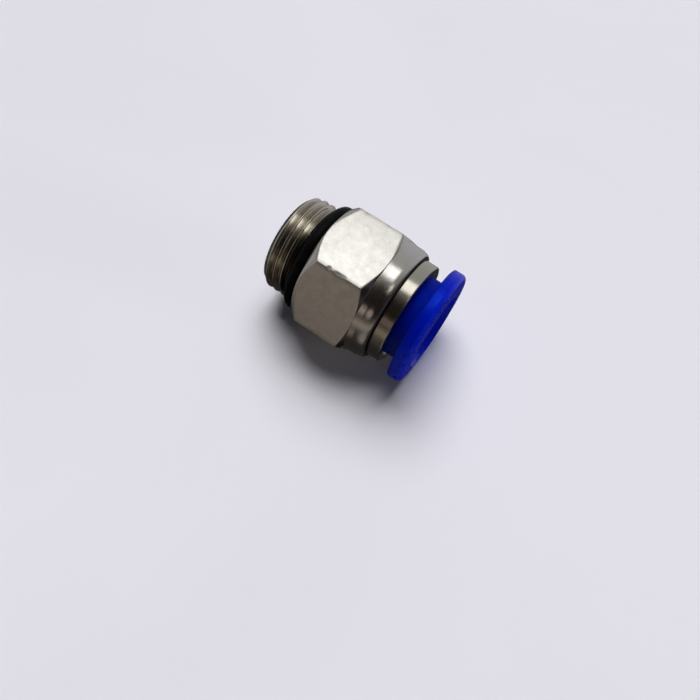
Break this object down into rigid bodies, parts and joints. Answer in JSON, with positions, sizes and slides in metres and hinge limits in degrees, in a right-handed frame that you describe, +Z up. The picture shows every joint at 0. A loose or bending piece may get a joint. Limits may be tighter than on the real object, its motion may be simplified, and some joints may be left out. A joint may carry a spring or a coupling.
{
  "type": "push to connect fitting",
  "caption": "Straight male push-in tube fitting: nickel-plated hexagon body with a parallel pipe thread and face seal, pressed collar and blue release sleeve.",
  "frame": {"origin": "on the fitting's axis, in the plane of the hexagon's thread-side face, where the port's face lands", "axes": "+X along the axis from the thread to the tube port, +Z up and square to the hexagon flat that the fitting lies on, +Y across the hexagon's corners"},
  "size_m": [0.0279, 0.023, 0.02],
  "materials": {
    "nickel_plate": "bright nickel plating on turned brass",
    "seal_rubber": "moulded nitrile rubber, satin",
    "bare_brass": "turned brass, unplated",
    "spring_stainless": "rolled spring steel, deburred",
    "blue_plastic": "moulded acetal, gloss"
  },
  "bodies": {
    "fitting": {"body": "nickel_plate", "face_seal": "seal_rubber", "tube_seal": "seal_rubber", "claw_seat": "bare_brass", "collar": "nickel_plate"},
    "claw_ring": {"claw_rim": "spring_stainless"},
    "sleeve": {"release_sleeve": "blue_plastic"},
    "claw_1": {"claw_1": "spring_stainless"},
    "claw_2": {"claw_2": "spring_stainless"},
    "claw_3": {"claw_3": "spring_stainless"},
    "claw_4": {"claw_4": "spring_stainless"},
    "claw_5": {"claw_5": "spring_stainless"},
    "claw_6": {"claw_6": "spring_stainless"},
    "claw_7": {"claw_7": "spring_stainless"},
    "claw_8": {"claw_8": "spring_stainless"},
    "claw_9": {"claw_9": "spring_stainless"},
    "claw_10": {"claw_10": "spring_stainless"},
    "claw_11": {"claw_11": "spring_stainless"},
    "claw_12": {"claw_12": "spring_stainless"}
  },
  "joints": [
    {"name": "tube_swivel", "type": "hinge", "parent": "fitting", "child": "claw_ring", "pos_m": [0, 0, 0], "axis": [1, 0, 0], "continuous": true},
    {"name": "release_push", "type": "slide", "parent": "claw_ring", "child": "sleeve", "axis": [-1, 0, 0], "range_m": [0, 0.0015], "stiffness_N_per_m": 2000},
    {"name": "claw_1_bend", "type": "hinge", "parent": "claw_ring", "child": "claw_1", "pos_m": [0.00904, 0, 0.00675], "axis": [0, 1, 0], "range_deg": [0, 12]},
    {"name": "claw_2_bend", "type": "hinge", "parent": "claw_ring", "child": "claw_2", "pos_m": [0.00904, -0.00337, 0.00585], "axis": [0, 0.866, 0.5], "range_deg": [0, 12]},
    {"name": "claw_3_bend", "type": "hinge", "parent": "claw_ring", "child": "claw_3", "pos_m": [0.00904, -0.00585, 0.00337], "axis": [0, 0.5, 0.866], "range_deg": [0, 12]},
    {"name": "claw_4_bend", "type": "hinge", "parent": "claw_ring", "child": "claw_4", "pos_m": [0.00904, -0.00675, 0], "axis": [0, 0, 1], "range_deg": [0, 12]},
    {"name": "claw_5_bend", "type": "hinge", "parent": "claw_ring", "child": "claw_5", "pos_m": [0.00904, -0.00585, -0.00337], "axis": [0, -0.5, 0.866], "range_deg": [0, 12]},
    {"name": "claw_6_bend", "type": "hinge", "parent": "claw_ring", "child": "claw_6", "pos_m": [0.00904, -0.00337, -0.00585], "axis": [0, -0.866, 0.5], "range_deg": [0, 12]},
    {"name": "claw_7_bend", "type": "hinge", "parent": "claw_ring", "child": "claw_7", "pos_m": [0.00904, 0, -0.00675], "axis": [0, -1, 0], "range_deg": [0, 12]},
    {"name": "claw_8_bend", "type": "hinge", "parent": "claw_ring", "child": "claw_8", "pos_m": [0.00904, 0.00337, -0.00585], "axis": [0, -0.866, -0.5], "range_deg": [0, 12]},
    {"name": "claw_9_bend", "type": "hinge", "parent": "claw_ring", "child": "claw_9", "pos_m": [0.00904, 0.00585, -0.00337], "axis": [0, -0.5, -0.866], "range_deg": [0, 12]},
    {"name": "claw_10_bend", "type": "hinge", "parent": "claw_ring", "child": "claw_10", "pos_m": [0.00904, 0.00675, 0], "axis": [0, 0, -1], "range_deg": [0, 12]},
    {"name": "claw_11_bend", "type": "hinge", "parent": "claw_ring", "child": "claw_11", "pos_m": [0.00904, 0.00585, 0.00337], "axis": [0, 0.5, -0.866], "range_deg": [0, 12]},
    {"name": "claw_12_bend", "type": "hinge", "parent": "claw_ring", "child": "claw_12", "pos_m": [0.00904, 0.00337, 0.00585], "axis": [0, 0.866, -0.5], "range_deg": [0, 12]}
  ],
  "couplings": [
    {"joint": "claw_1_bend", "follows": "release_push", "rad_per_m": 139.6},
    {"joint": "claw_2_bend", "follows": "release_push", "rad_per_m": 139.6},
    {"joint": "claw_3_bend", "follows": "release_push", "rad_per_m": 139.6},
    {"joint": "claw_4_bend", "follows": "release_push", "rad_per_m": 139.6},
    {"joint": "claw_5_bend", "follows": "release_push", "rad_per_m": 139.6},
    {"joint": "claw_6_bend", "follows": "release_push", "rad_per_m": 139.6},
    {"joint": "claw_7_bend", "follows": "release_push", "rad_per_m": 139.6},
    {"joint": "claw_8_bend", "follows": "release_push", "rad_per_m": 139.6},
    {"joint": "claw_9_bend", "follows": "release_push", "rad_per_m": 139.6},
    {"joint": "claw_10_bend", "follows": "release_push", "rad_per_m": 139.6},
    {"joint": "claw_11_bend", "follows": "release_push", "rad_per_m": 139.6},
    {"joint": "claw_12_bend", "follows": "release_push", "rad_per_m": 139.6}
  ]
}
